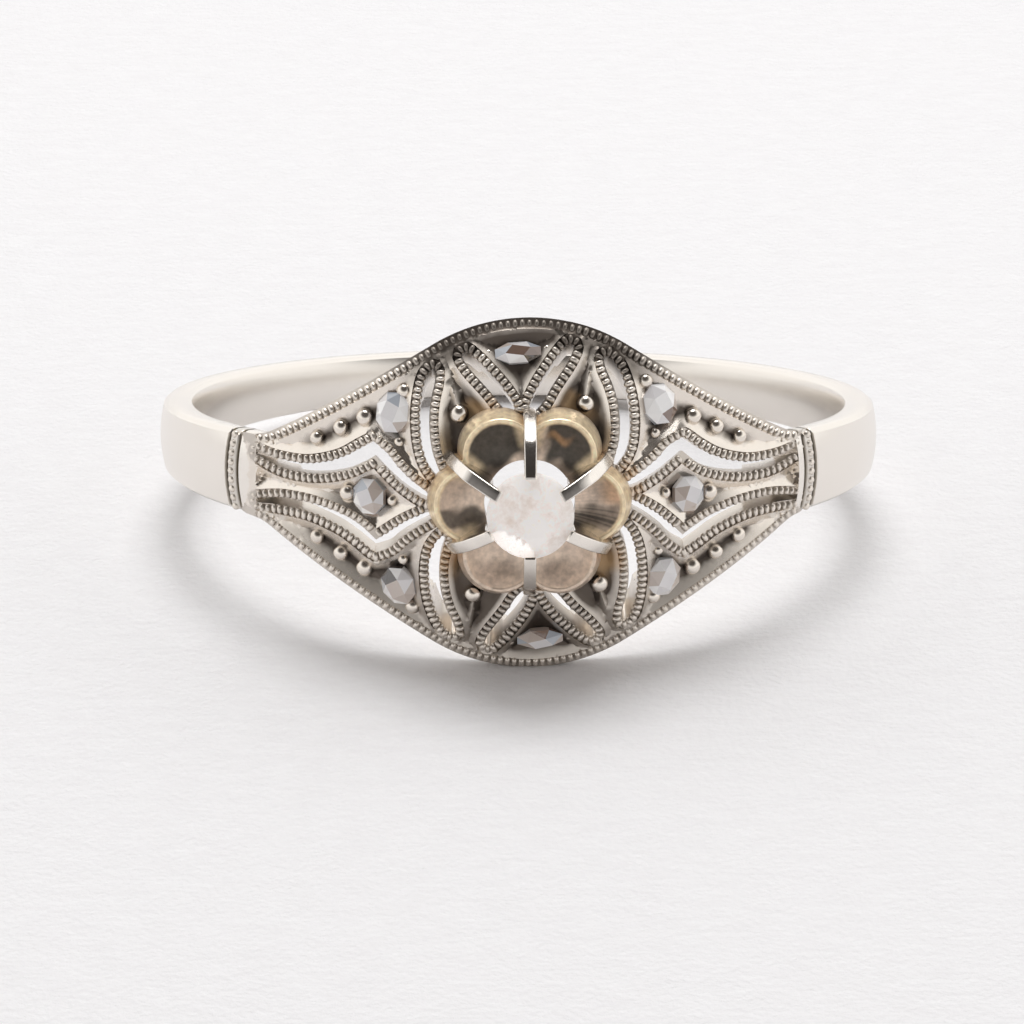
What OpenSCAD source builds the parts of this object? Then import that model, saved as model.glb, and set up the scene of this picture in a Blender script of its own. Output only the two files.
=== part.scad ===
// A domed filigree ring, lying on its side as it rests by itself.
// It is drawn upright first: the finger goes along Z and the face looks toward -Y.
// A point of the face is [across, up] in a flat drawing, which is then laid on the dome.

/* [Finger and band] */
// Radius of the finger hole
finger_r = 8.6; // [8.4:0.1:8.8]
// Thickness of the band
band_wall = 0.9; // [0.8:0.05:1]
// Width of the band at the back
band_back_w = 1.25; // [1.1:0.05:1.5]
// Width of the band where it meets the head
band_seam_w = 2.1; // [2:0.05:2.2]
// Radius of the band's rounded outside, seen in section
band_crown_r = 3.2; // [2.5:0.1:6]

/* [Head] */
// Height of the head from rim to rim
head_h = 8.92; // [8.6:0.02:9]
// How far the dome stands out in front of the finger
dome_rise = 1.73; // [1.6:0.01:1.8]
// Radius of the dome
dome_r = 8.18; // [8.1:0.01:8.3]
// Depth of the sunk fields between the wires
field_depth = 0.24; // [0.15:0.01:0.3]
// Thickness of the metal under the fields
sheet = 0.34; // [0.3:0.01:0.45]
// How far the head's side walls lean in behind the rim, for each millimetre of depth
rim_lean = 0.21; // [0.21:0.01:0.24]
// Width of the rim
rim_w = 0.4; // [0.3:0.01:0.5]
// Width of the wires along the slits
wire_w = 0.21; // [0.18:0.01:0.24]
// How far the middle of the pattern is turned on the handmade ring, in degrees
centre_turn = 4.5; // [0:0.5:6]
// How far the head sits to the right of the band's middle
head_shift = 0.15; // [0:0.05:0.2]

/* [Grains and end bars] */
// How far the grains' middles stand over the sunk fields
grain_rise = 0.06; // [0.03:0.01:0.08]
// Place of the groove between the dome and the end bar, in degrees from the middle of the face
bar_groove = 50; // [49.8:0.1:50.4]
// Place of the groove between the end bar and the band, in degrees
seam_groove = 52.6; // [52.2:0.1:53]
// Width of the grooves, in degrees
groove_deg = 0.5; // [0.4:0.1:0.7]
// Depth of the grooves
groove_depth = 0.12; // [0.08:0.01:0.16]

/* [Flower] */
// Radius of the hole in the middle of the flower
flower_hole_r = 1.13; // [1:0.01:1.2]
// Distance from the flower's middle to the middle of a petal
petal_out = 1.43; // [1.35:0.01:1.5]
// Radius of a petal
petal_r = 0.95; // [0.85:0.01:1]
// Height of the petals' edges over the dome
petal_rise = 0.3; // [0.25:0.01:0.4]
// Depth of the scoop in a petal
petal_dish = 0.32; // [0.2:0.01:0.4]
// Width of a petal's thin upper edge
petal_edge = 0.09; // [0.07:0.01:0.12]
// Width of a claw
claw_w = 0.32; // [0.28:0.01:0.36]

/* [Stones] */
// Radius of the middle stone
centre_stone_r = 1.08; // [1.02:0.01:1.08]
// Height of the middle stone's edge over the dome
centre_stone_rise = 1.16; // [1.12:0.01:1.2]
// How far the middle stone sits under the flower's middle
centre_stone_drop = 0.07; // [0:0.01:0.08]
// Radius of the middle stone's flat top
centre_table_r = 0.6; // [0.5:0.01:0.7]
// Height of the small stones
small_stone_h = 0.34; // [0.3:0.01:0.4]
// Clearance around each stone
stone_gap = 0.03; // [0.02:0.01:0.04]

/* [Hidden] */

GOLD = "gainsboro";
STONE = "aliceblue";

FINE = 128;
SMALL = 32;

band_r = finger_r + band_wall;
dome_front = finger_r + dome_rise;
dome_y = dome_r - dome_front;
field_r = dome_r - field_depth;
inner_r = field_r - sheet;

// The middle stone's parts: a thin edge, sloping facets over it and a cone of facets below.
girdle_h = 0.08;
crown_h = 0.3;
pavilion_h = 0.55;
skin = 0.01;

// Signs that lay one quarter of the pattern, or one side of it, out over the face.
QUARTERS = [[1, 1], [-1, 1], [-1, -1], [1, -1]];
SIDES = [[1, 1], [-1, 1]];

// Slits of one quarter: across, up, width of the cut.
CHEVRON = [
    [6.85, 0.62, 0.12],
    [6.50, 0.53, 0.17],
    [6.10, 0.48, 0.23],
    [5.60, 0.49, 0.25],
    [5.20, 0.56, 0.28],
    [4.80, 0.68, 0.31],
    [4.50, 0.81, 0.33],
    [4.20, 1.00, 0.34],
    [3.86, 1.25, 0.36],
    [3.62, 1.08, 0.31],
    [3.40, 0.86, 0.28],
    [3.15, 0.64, 0.26],
    [2.90, 0.46, 0.24],
    [2.60, 0.28, 0.21],
    [2.42, 0.20, 0.14]
];
CRESCENT = [
    [2.22, 0.80, 0.14],
    [2.35, 1.05, 0.23],
    [2.45, 1.35, 0.25],
    [2.50, 1.80, 0.26],
    [2.48, 2.30, 0.27],
    [2.39, 2.75, 0.28],
    [2.27, 3.10, 0.28],
    [2.17, 3.32, 0.16]
];
V_SLIT = [
    [0.28, 2.36, 0.22],
    [0.42, 2.55, 0.30],
    [0.63, 2.86, 0.31],
    [0.86, 3.14, 0.31],
    [1.10, 3.42, 0.30],
    [1.30, 3.66, 0.22]
];
SLITS = [CHEVRON, CRESCENT, V_SLIT];

// Grains of one quarter: across, up, radius.
GRAINS = [
    [5.42, 1.29, 0.20],
    [4.80, 1.63, 0.21],
    [4.19, 1.95, 0.23],
    [3.08, 2.80, 0.20],
    [3.26, 1.52, 0.14],
    [1.61, 2.33, 0.24]
];
// Grains of one side, on the line through the middle: across, up, radius.
SIDE_GRAINS = [
    [4.62, 0.00, 0.22],
    [3.49, 0.00, 0.14]
];
// Grains beside the top and bottom stones: across, up, radius.
V_GRAINS = [
    [0.75, 3.74, 0.12]
];

// Small stones: across, up, half width, half height.
SIDE_STONE = [4.05, 0.00, 0.46, 0.48];
CORNER_STONE = [3.37, 2.23, 0.48, 0.54];
V_STONE = [0.00, 3.69, 0.62, 0.29];
SMALL_STONES = concat(
    [for (q = SIDES) [SIDE_STONE, q]],
    [for (q = QUARTERS) [CORNER_STONE, q]],
    [for (q = [[1, 1], [1, -1]]) [V_STONE, q]]
);

// A claw seen from its side: distance from the flower's axis, height over the dome.
CLAW = [
    [1.13, -0.55],
    [2.34, -0.55],
    [2.34, -0.15],
    [2.28, 0.14],
    [2.04, 0.50],
    [1.78, 0.88],
    [1.52, 1.16],
    [1.26, 1.39],
    [1.05, 1.53],
    [0.95, 1.56],
    [0.87, 1.53],
    [0.87, 1.42],
    [1.02, 1.26],
    [1.02, 1.10],
    [1.13, 0.98]
];
// The lower claws are worn shorter.
SHORT_CLAW = [
    [1.13, -0.55],
    [2.34, -0.55],
    [2.34, -0.15],
    [2.28, 0.14],
    [2.04, 0.48],
    [1.80, 0.80],
    [1.56, 1.08],
    [1.32, 1.28],
    [1.12, 1.38],
    [1.00, 1.35],
    [1.00, 1.10],
    [1.13, 0.98]
];

// The rim's outline: a round middle, a straight slope and a flare to the band.
rim_arc_r = 4.6;
rim_slope = 31.8;
rim_arc_x = rim_arc_r * sin(rim_slope);
rim_arc_up = head_h / 2 - rim_arc_r + rim_arc_r * cos(rim_slope);
flare_x = 6.5;
flare_up = rim_arc_up - (flare_x - rim_arc_x) * tan(rim_slope);
flare_r = (flare_up - band_seam_w / 2) / (1 - cos(rim_slope));
flare_end = flare_x + flare_r * sin(rim_slope);
// Behind the flare the outline dives into the band.
tail_more = 0.5;
tail_in = 0.15;
ARC_STEPS = 8;
FLARE_STEPS = 3;
RIM_QUARTER = concat(
    [for (i = [0 : ARC_STEPS])
        let (a = rim_slope * i / ARC_STEPS)
        [rim_arc_r * sin(a), head_h / 2 - rim_arc_r * (1 - cos(a))]],
    [for (i = [0 : FLARE_STEPS])
        let (a = rim_slope * (1 - i / FLARE_STEPS))
        [flare_end - flare_r * sin(a), band_seam_w / 2 + flare_r * (1 - cos(a))]],
    [[flare_end + tail_more, band_seam_w / 2 - tail_in]]
);
RIM_LAST = len(RIM_QUARTER) - 1;
// The whole outline, clockwise from the top.
RIM = concat(
    RIM_QUARTER,
    [for (i = [RIM_LAST : -1 : 0]) [RIM_QUARTER[i].x, -RIM_QUARTER[i].y]],
    [for (i = [1 : RIM_LAST]) -RIM_QUARTER[i]],
    [for (i = [RIM_LAST : -1 : 1]) [-RIM_QUARTER[i].x, RIM_QUARTER[i].y]]
);

// The handmade pattern: its middle is turned a little, and the head sits off centre.
turn_full_x = 2;
turn_none_x = 4.2;
function turn_at(x) = centre_turn * min(1, max(0, (turn_none_x - abs(x)) / (turn_none_x - turn_full_x)));
function settled(p) =
    let (a = turn_at(p.x))
    [p.x * cos(a) - p.y * sin(a) + head_shift, p.x * sin(a) + p.y * cos(a)];

// The way out of the dome over the drawing's point p, and the place there
// at the distance r from the dome's centre.
function outward(p) =
    let (q = settled(p))
    [q.x, -sqrt(dome_r * dome_r - q.x * q.x - q.y * q.y), q.y] / dome_r;
function on_dome(p, r) = [0, dome_y, 0] + r * outward(p);

// The direction of a table's line at row i, and the points on both sides of it.
function unit(v) = v / norm(v);
function point(row) = [row.x, row.y];
function along(rows, i) =
    unit(point(rows[min(i + 1, len(rows) - 1)]) - point(rows[max(i - 1, 0)]));
function beside(rows, i, side) =
    let (d = along(rows, i))
    point(rows[i]) + side * rows[i].z / 2 * [-d.y, d.x];
function flipped(p, q) = [p.x * q.x, p.y * q.y];
function reversed(list) = [for (i = [len(list) - 1 : -1 : 0]) list[i]];

// The outline of a slit in the flat drawing, laid out for one quarter of the face.
function slit_side(rows, side) = [for (i = [0 : len(rows) - 1]) beside(rows, i, side)];
function slit_outline(rows, q) =
    [for (p = concat(slit_side(rows, 1), reversed(slit_side(rows, -1)))) settled(flipped(p, q))];

// A table of grains repeated over the quarters, the sides or the top and bottom.
function repeated(rows, places) = [for (q = places, g = rows) [g.x * q.x, g.y * q.y, g.z]];
ALL_GRAINS = concat(
    repeated(GRAINS, QUARTERS),
    repeated(SIDE_GRAINS, SIDES),
    repeated(V_GRAINS, QUARTERS)
);

// Rest pose: the ring tips forward until the rim's lower edge and the back of the band
// touch the floor.
band_half = band_back_w / 2;
band_edge_y = band_r - band_crown_r + sqrt(band_crown_r * band_crown_r - band_half * band_half);
rim_front = -dome_y + sqrt(dome_r * dome_r - head_shift * head_shift - head_h * head_h / 4);
rest_tilt = atan((head_h / 2 - band_half) / (rim_front + band_edge_y));
rest_up = head_h / 2 * cos(rest_tilt) - rim_front * sin(rest_tilt);
stone_top = dome_front + centre_stone_rise + girdle_h + crown_h;
stone_low = centre_stone_drop + centre_table_r * cos(22.5);
rest_front = max(
    stone_top * cos(rest_tilt) + stone_low * sin(rest_tilt),
    max([for (c = SHORT_CLAW) (dome_front + c.y) * cos(rest_tilt) + c.x * sin(rest_tilt)]),
    max([for (c = CLAW) (dome_front + c.y) * cos(rest_tilt) - c.x / 2 * sin(rest_tilt)])
);
rest_back = band_edge_y * cos(rest_tilt) + band_half * sin(rest_tilt);
module laid() {
    translate([0, (rest_front - rest_back) / 2, rest_up])
        rotate([-rest_tilt, 0, 0]) children();
}

module finger_hole() {
    cylinder(h = 3 * head_h, r = finger_r, center = true, $fn = FINE);
}

// The band in section: flat inside, rounded outside.
module band_section(out) {
    intersection() {
        translate([out - band_crown_r, 0]) circle(band_crown_r, $fn = FINE);
        translate([finger_r, -band_seam_w]) square([2 * band_wall, 2 * band_seam_w]);
    }
}

// Turns a part of the way round the finger, measured from the middle of the face.
module round_finger(from, to) {
    rotate([0, 0, from - 90]) rotate_extrude(angle = to - from, $fn = FINE) children();
}

// The band grows from its narrow back to the seam with the head.
band_start = 44;
seam_y = -band_r * cos(seam_groove);
module band() {
    intersection() {
        round_finger(band_start, 360 - band_start) band_section(band_r);
        rotate([90, 0, 90])
            linear_extrude(3 * band_r, center = true)
                polygon([
                    [seam_y, -band_seam_w / 2],
                    [band_r, -band_back_w / 2],
                    [band_r, band_back_w / 2],
                    [seam_y, band_seam_w / 2],
                    [-band_r, band_seam_w / 2],
                    [-band_r, -band_seam_w / 2]
                ]);
    }
}

// Two grooves across each shoulder leave the end bar between them.
module end_grooves() {
    for (side = SIDES, angle = [bar_groove, seam_groove])
        let (middle = side.x * angle)
        round_finger(middle - groove_deg / 2, middle + groove_deg / 2)
            difference() {
                translate([finger_r, -band_seam_w]) square([2 * band_wall, 2 * band_seam_w]);
                band_section(band_r - groove_depth);
            }
}

module ball(r) {
    translate([0, dome_y, 0]) sphere(r, $fn = FINE);
}

// A prism that stands on the flat drawing and runs through the front of the ring.
prism_front = dome_front + 2;
prism_back = 4.2;
module prism() {
    rotate([90, 0, 0])
        translate([0, 0, prism_back])
            linear_extrude(prism_front - prism_back) children();
}

module rim_outline() {
    translate([head_shift, 0]) polygon(RIM);
}

module slits_outline() {
    for (rows = SLITS, q = QUARTERS) polygon(slit_outline(rows, q));
}

module between_shoulders(x) {
    square([2 * x, 2 * head_h], center = true);
}

// A slit is sawn square to the dome up and down, and nearly straight back sideways.
saw_in = 3;
saw_out = 1.2;
saw_lean = 0.1;
function sawn_at(p, out) =
    let (n = outward(p))
    on_dome(p, dome_r) + out * [saw_lean * n.x, n.y, n.z];
module sawn(rows, q) {
    n = len(rows);
    corners = [for (i = [0 : n - 1])
        let (left = flipped(beside(rows, i, 1), q), right = flipped(beside(rows, i, -1), q))
        each [sawn_at(left, -saw_in), sawn_at(left, saw_out),
            sawn_at(right, saw_out), sawn_at(right, -saw_in)]];
    strips = [for (i = [0 : n - 2], k = [0 : 3])
        let (a = 4 * i + k, b = 4 * i + (k + 1) % 4)
        each [[a, b, b + 4], [a, b + 4, a + 4]]];
    ends = [[2, 1, 0], [3, 2, 0], [4 * n - 4, 4 * n - 3, 4 * n - 2], [4 * n - 4, 4 * n - 2, 4 * n - 1]];
    faces = concat(strips, ends);
    polyhedron(corners, q.x * q.y > 0 ? [for (f = faces) reversed(f)] : faces);
}

// The hollow under the middle of the dome leaves a frame all round it.
hollow_in = 0.85;
hollow_x = 5.7;
module hollow() {
    intersection() {
        ball(inner_r);
        prism() intersection() {
            offset(delta = -hollow_in) rim_outline();
            between_shoulders(hollow_x);
        }
    }
}

// The sunk fields leave the rim and the wires along the slits standing.
field_x = 6.92;
module fields() {
    difference() {
        prism() difference() {
            intersection() {
                offset(delta = -rim_w) rim_outline();
                translate([head_shift, 0]) between_shoulders(field_x);
            }
            offset(delta = wire_w) slits_outline();
        }
        ball(field_r);
    }
}

// The head's side walls pass through the outline on the dome and lean in behind it.
// They run on a little in front of the dome and close there in a far point.
wall_out = 0.6;
apex = 30;
function rim_depth(p) = -dome_y + sqrt(dome_r * dome_r - p.x * p.x - p.y * p.y);
function wall_at(i, out) =
    let (
        n = len(RIM),
        p = RIM[i] + [head_shift, 0],
        d = unit(RIM[(i + 1) % n] - RIM[(i + n - 1) % n]),
        more = rim_lean * out
    )
    [p.x - more * d.y, -rim_depth(p) - out, p.y + more * d.x];
module dome() {
    n = len(RIM);
    back = [for (i = [0 : n - 1]) wall_at(i, prism_back - rim_depth(RIM[i] + [head_shift, 0]))];
    front = [for (i = [0 : n - 1]) wall_at(i, wall_out)];
    walls = [for (i = [0 : n - 1])
        let (next = (i + 1) % n)
        each [[i, next, n + next], [i, n + next, n + i], [n + i, n + next, 2 * n]]];
    difference() {
        intersection() {
            polyhedron(
                concat(back, front, [[head_shift, -apex, 0]]),
                concat([[for (i = [n - 1 : -1 : 0]) i]], walls)
            );
            ball(dome_r);
        }
        finger_hole();
    }
}

module grains() {
    for (g = ALL_GRAINS)
        translate(on_dome(g, field_r + grain_rise)) sphere(g.z, $fn = SMALL);
}

// Turns a piece so that its foot stands square on the dome over the point p.
module standing(p, r) {
    n = outward(p);
    translate(on_dome(p, r))
        rotate([0, acos(n.z), atan2(n.y, n.x)])
            rotate([0, 0, 90]) children();
}

// The flower's own frame: its axis comes out of the middle of the face.
module on_flower() {
    translate([head_shift, 0, 0]) rotate([90, 0, 0]) children();
}

petal_top = dome_front + petal_rise;
petal_foot = petal_top - 1.15;
dish_in = petal_r - petal_edge;
dish_r = (dish_in * dish_in + petal_dish * petal_dish) / (2 * petal_dish);
module flower() {
    on_flower() {
        difference() {
            union() {
                for (k = [0 : 5])
                    rotate([0, 0, 60 * k])
                        translate([petal_out, 0, petal_foot])
                            cylinder(r = petal_r, h = petal_top - petal_foot, $fn = FINE);
                translate([0, 0, petal_foot])
                    cylinder(r = petal_out + 0.45, h = petal_top - petal_foot - 0.08, $fn = FINE);
            }
            for (k = [0 : 5])
                rotate([0, 0, 60 * k])
                    translate([petal_out, 0, petal_top + dish_r - petal_dish])
                        sphere(dish_r, $fn = FINE);
        }
        for (k = [0 : 5])
            rotate([0, 0, 60 * k + 30])
                rotate([90, 0, 0])
                    linear_extrude(claw_w, center = true)
                        polygon([for (c = k < 3 ? CLAW : SHORT_CLAW) [c.x, c.y + dome_front]]);
    }
}

module flower_hole() {
    on_flower()
        translate([0, 0, prism_back])
            cylinder(r = flower_hole_r, h = petal_top - prism_back + 0.01, $fn = FINE);
}

module center_stone() {
    on_flower()
        translate([0, -centre_stone_drop, dome_front + centre_stone_rise])
            hull() {
                cylinder(r = centre_stone_r, h = girdle_h, $fn = 16);
                translate([0, 0, girdle_h + crown_h - skin])
                    rotate([0, 0, 22.5]) cylinder(r = centre_table_r, h = skin, $fn = 8);
                translate([0, 0, -pavilion_h])
                    cylinder(r = 4 * skin, h = skin, $fn = 8);
            }
}

// The room the claws leave for the middle stone, wider than the stone all round.
module centre_seat() {
    wide = centre_stone_r + stone_gap;
    slope = (centre_stone_r - centre_table_r) / crown_h;
    on_flower()
        translate([0, -centre_stone_drop, dome_front + centre_stone_rise]) {
            translate([0, 0, -4 * stone_gap])
                cylinder(r = wide, h = girdle_h + 4.5 * stone_gap, $fn = FINE);
            translate([0, 0, girdle_h + stone_gap / 2])
                cylinder(r1 = wide, r2 = wide - slope * 2 * crown_h, h = 2 * crown_h, $fn = FINE);
        }
}

// A small stone has eight sides, upright at the foot, then sloping in to a flat top.
foot_h = 0.14;
top_share = 0.55;
module cut_stone(w, h, tall, room) {
    rings = [[-room / 2, 1], [foot_h + room, 1], [tall + room, top_share]];
    corners = [for (ring = rings, k = [0 : 7])
        let (a = 45 * k + 22.5)
        [(w + room) * ring[1] * cos(a), (h + room) * ring[1] * sin(a), ring[0]]];
    around = [for (low = [0, 8], k = [0 : 7])
        let (next = (k + 1) % 8)
        [low + k, low + 8 + k, low + 8 + next, low + next]];
    polyhedron(corners, concat([[for (k = [0 : 7]) k]], around, [[for (k = [7 : -1 : 0]) 16 + k]]));
}

module small_stone(stone, room) {
    place = flipped(stone[0], stone[1]);
    standing(place, field_r + stone_gap)
        rotate([0, 0, turn_at(place.x)])
            cut_stone(stone[0][2], stone[0][3], small_stone_h, room);
}

module ring_metalwork() {
    difference() {
        union() {
            difference() {
                union() {
                    band();
                    dome();
                }
                fields();
                end_grooves();
                for (rows = SLITS, q = QUARTERS) sawn(rows, q);
                hollow();
            }
            grains();
            flower();
        }
        flower_hole();
        centre_seat();
        for (stone = SMALL_STONES) small_stone(stone, stone_gap);
        finger_hole();
    }
}

module side_stone_right() {
    small_stone(SMALL_STONES[0], 0);
}
module side_stone_left() {
    small_stone(SMALL_STONES[1], 0);
}
module corner_stone_1() {
    small_stone(SMALL_STONES[2], 0);
}
module corner_stone_2() {
    small_stone(SMALL_STONES[3], 0);
}
module corner_stone_3() {
    small_stone(SMALL_STONES[4], 0);
}
module corner_stone_4() {
    small_stone(SMALL_STONES[5], 0);
}
module top_stone() {
    small_stone(SMALL_STONES[6], 0);
}
module bottom_stone() {
    small_stone(SMALL_STONES[7], 0);
}

color(GOLD) laid() ring_metalwork();
color(STONE) laid() center_stone();
color(STONE) laid() side_stone_right();
color(STONE) laid() side_stone_left();
color(STONE) laid() corner_stone_1();
color(STONE) laid() corner_stone_2();
color(STONE) laid() corner_stone_3();
color(STONE) laid() corner_stone_4();
color(STONE) laid() top_stone();
color(STONE) laid() bottom_stone();
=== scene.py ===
from math import atan, atan2, ceil, cos, degrees, hypot, pi, radians, sin, sqrt, tan

import bmesh
import bpy
import numpy as np
from mathutils import Matrix, Vector, kdtree
from mathutils.geometry import delaunay_2d_cdt


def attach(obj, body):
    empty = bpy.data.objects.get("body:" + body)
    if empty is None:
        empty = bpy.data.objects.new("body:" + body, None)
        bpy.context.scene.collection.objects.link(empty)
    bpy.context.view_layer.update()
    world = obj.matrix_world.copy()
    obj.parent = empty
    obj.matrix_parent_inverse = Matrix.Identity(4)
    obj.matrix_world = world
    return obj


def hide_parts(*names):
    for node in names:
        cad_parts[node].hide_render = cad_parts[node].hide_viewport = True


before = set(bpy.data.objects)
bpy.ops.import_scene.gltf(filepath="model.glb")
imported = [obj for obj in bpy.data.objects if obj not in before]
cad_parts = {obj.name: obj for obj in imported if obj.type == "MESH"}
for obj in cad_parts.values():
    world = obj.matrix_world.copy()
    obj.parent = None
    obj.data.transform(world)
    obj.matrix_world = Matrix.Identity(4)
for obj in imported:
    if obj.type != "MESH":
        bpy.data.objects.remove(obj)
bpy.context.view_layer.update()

rng = np.random.default_rng(7)

# Sizes in mm, in the ring's own frame: the finger goes along Z and the face looks toward -Y.
MM = 0.001
FINGER_R, BAND_R = 8.6, 9.5
BAND_BACK_W, BAND_SEAM_W, BAND_CROWN_R = 1.25, 2.1, 3.2
HEAD_H, DOME_RISE, DOME_R = 8.92, 1.73, 8.18
RIM_ARC_R, RIM_SLOPE_DEG, FLARE_X = 4.6, 31.8, 6.5
FIELD_DEPTH, SHEET, RIM_LEAN = 0.24, 0.34, 0.21
CENTRE_TURN, TURN_FULL_X, TURN_NONE_X, HEAD_SHIFT = 4.5, 2.0, 4.2, 0.15
DOME_FRONT = FINGER_R + DOME_RISE
DOME_Y = DOME_R - DOME_FRONT
FIELD_R = DOME_R - FIELD_DEPTH
INNER_R = FIELD_R - SHEET
HOLLOW_IN, HOLLOW_X, FIELD_X = 0.85, 5.7, 6.92
SAW_LEAN = 0.1
BAR_GROOVE, SEAM_GROOVE, GROOVE_DEG, GROOVE_DEPTH = 50.0, 52.6, 0.5, 0.12
HOLE_R, PETAL_OUT, PETAL_R, PETAL_RISE = 1.13, 1.43, 0.95, 0.3
PETAL_DISH, PETAL_EDGE, CLAW_W = 0.32, 0.09, 0.32
STONE_R, STONE_RISE, STONE_DROP, TABLE_R, TABLE_H = 1.08, 1.16, 0.07, 0.6, 0.38
SMALL_H, STONE_GAP = 0.34, 0.03

# Slits of one quarter: across, up, width of the cut.
CHEVRON = [
    (6.85, 0.62, 0.12), (6.50, 0.53, 0.17), (6.10, 0.48, 0.23), (5.60, 0.49, 0.25),
    (5.20, 0.56, 0.28), (4.80, 0.68, 0.31), (4.50, 0.81, 0.33), (4.20, 1.00, 0.34),
    (3.86, 1.25, 0.36), (3.62, 1.08, 0.31), (3.40, 0.86, 0.28), (3.15, 0.64, 0.26),
    (2.90, 0.46, 0.24), (2.60, 0.28, 0.21), (2.42, 0.20, 0.14),
]
CRESCENT = [
    (2.22, 0.80, 0.14), (2.35, 1.05, 0.23), (2.45, 1.35, 0.25), (2.50, 1.80, 0.26),
    (2.48, 2.30, 0.27), (2.39, 2.75, 0.28), (2.27, 3.10, 0.28), (2.17, 3.32, 0.16),
]
V_SLIT = [
    (0.28, 2.36, 0.22), (0.42, 2.55, 0.30), (0.63, 2.86, 0.31),
    (0.86, 3.14, 0.31), (1.10, 3.42, 0.30), (1.30, 3.66, 0.22),
]
# Each slit table with the row where it turns a sharp corner, or None.
SLITS = [(CHEVRON, 8), (CRESCENT, None), (V_SLIT, None)]

# Grains of one quarter: across, up, radius.
GRAINS = [
    (5.42, 1.29, 0.20), (4.80, 1.63, 0.21), (4.19, 1.95, 0.23),
    (3.08, 2.80, 0.20), (3.26, 1.52, 0.14), (1.61, 2.33, 0.24),
]
SIDE_GRAINS = [(4.62, 0.0, 0.22), (3.49, 0.0, 0.14)]
V_GRAINS = [(0.75, 3.74, 0.12)]
# The fold of the engraved leaf between the crescent and the V.
LEAF_FOLD = [(1.93, 3.74), (1.80, 3.25), (1.68, 2.85), (1.60, 2.50)]
QUARTERS = [(1, 1), (-1, 1), (-1, -1), (1, -1)]
SIDES = [(1, 1), (-1, 1)]

# Claws seen from the side: distance from the flower's axis, height over the dome.
CLAW = [
    (1.13, -0.55), (2.34, -0.55), (2.34, -0.15), (2.29, 0.14), (2.10, 0.56), (1.88, 0.96),
    (1.70, 1.14), (1.36, 1.34), (1.06, 1.51), (0.95, 1.55), (0.88, 1.52), (0.88, 1.43),
    (1.02, 1.31), (1.13, 1.22), (1.13, 0.98),
]
SHORT_CLAW = [
    (1.13, -0.55), (2.34, -0.55), (2.34, -0.15), (2.28, 0.14), (2.06, 0.52), (1.84, 0.84),
    (1.58, 1.10), (1.32, 1.28), (1.14, 1.38), (1.06, 1.35), (1.17, 1.22), (1.17, 0.98),
]

# The rest pose: tipped forward onto the rim's lower edge and the back of the band.
half = BAND_BACK_W / 2
edge_y = BAND_R - BAND_CROWN_R + sqrt(BAND_CROWN_R ** 2 - half ** 2)
rim_front = -DOME_Y + sqrt(DOME_R ** 2 - HEAD_SHIFT ** 2 - HEAD_H ** 2 / 4)
TILT = atan((HEAD_H / 2 - half) / (rim_front + edge_y))
REST_UP = HEAD_H / 2 * cos(TILT) - rim_front * sin(TILT)
# The table's lowest corner stands half an eighth of a turn off the middle.
stone_top = DOME_FRONT + STONE_RISE + TABLE_H
stone_low = STONE_DROP + TABLE_R * cos(radians(22.5))
rest_front = stone_top * cos(TILT) + stone_low * sin(TILT)
rest_back = edge_y * cos(TILT) + half * sin(TILT)
LAID_ROT = Matrix.Rotation(-TILT, 4, "X")
LAID = Matrix.Scale(MM, 4) @ Matrix.Translation((0, (rest_front - rest_back) / 2, REST_UP)) @ LAID_ROT

# The camera, fitted to the photo: distance in mm, degrees over and beside the face, and of roll.
CAM_BACK, CAM_UP, CAM_TURN, CAM_ROLL = 150.0, 11.06, 0.69, 0.16
# Its shift in mm, and the photo's pixels for a millimetre at the finger's axis.
CAM_X, CAM_Y, CAM_SCALE = -0.17, -2.19, 37.59
PHOTO_PX, SENSOR_MM = 1024, 36


def linked(name, data):
    """A new object in the scene."""
    obj = bpy.data.objects.new(name, data)
    bpy.context.scene.collection.objects.link(obj)
    return obj


def make_camera():
    e, a, r = (radians(v) for v in (CAM_UP, CAM_TURN, CAM_ROLL))
    ahead = Vector((sin(a) * cos(e), cos(a) * cos(e), -sin(e)))
    right = Vector((cos(a), -sin(a), 0))
    up = right.cross(ahead)
    right, up = (
        cos(r) * right + sin(r) * up,
        -sin(r) * right + cos(r) * up,
    )
    place = LAID @ (-CAM_BACK * ahead + CAM_X * right + CAM_Y * up)
    turn = LAID_ROT.to_3x3() @ Matrix((right, up, -ahead)).transposed()
    cam = bpy.data.cameras.new("camera")
    cam.sensor_width = SENSOR_MM
    cam.lens = CAM_SCALE * CAM_BACK / PHOTO_PX * SENSOR_MM
    cam.clip_start, cam.clip_end = 0.005, 20
    obj = linked("camera", cam)
    obj.matrix_world = Matrix.Translation(place) @ turn.to_4x4()
    bpy.context.scene.camera = obj


make_camera()

# The flat drawing


def turn_at(x):
    """The handwork's turn of the pattern, in radians: full in the middle, none at the sides."""
    share = (TURN_NONE_X - np.abs(x)) / (TURN_NONE_X - TURN_FULL_X)
    return np.radians(CENTRE_TURN) * np.clip(share, 0, 1)


def settled(p):
    """Points of the drawing with the handwork's turn of the middle and the head's shift."""
    p = np.atleast_2d(np.asarray(p, float))
    a = turn_at(p[:, 0])
    across = p[:, 0] * np.cos(a) - p[:, 1] * np.sin(a) + HEAD_SHIFT
    return np.stack([across, p[:, 0] * np.sin(a) + p[:, 1] * np.cos(a)], 1)


def unit(v):
    """A vector, or each row of several, made one long."""
    return v / np.maximum(np.linalg.norm(v, axis=-1, keepdims=True), 1e-9)


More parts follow.
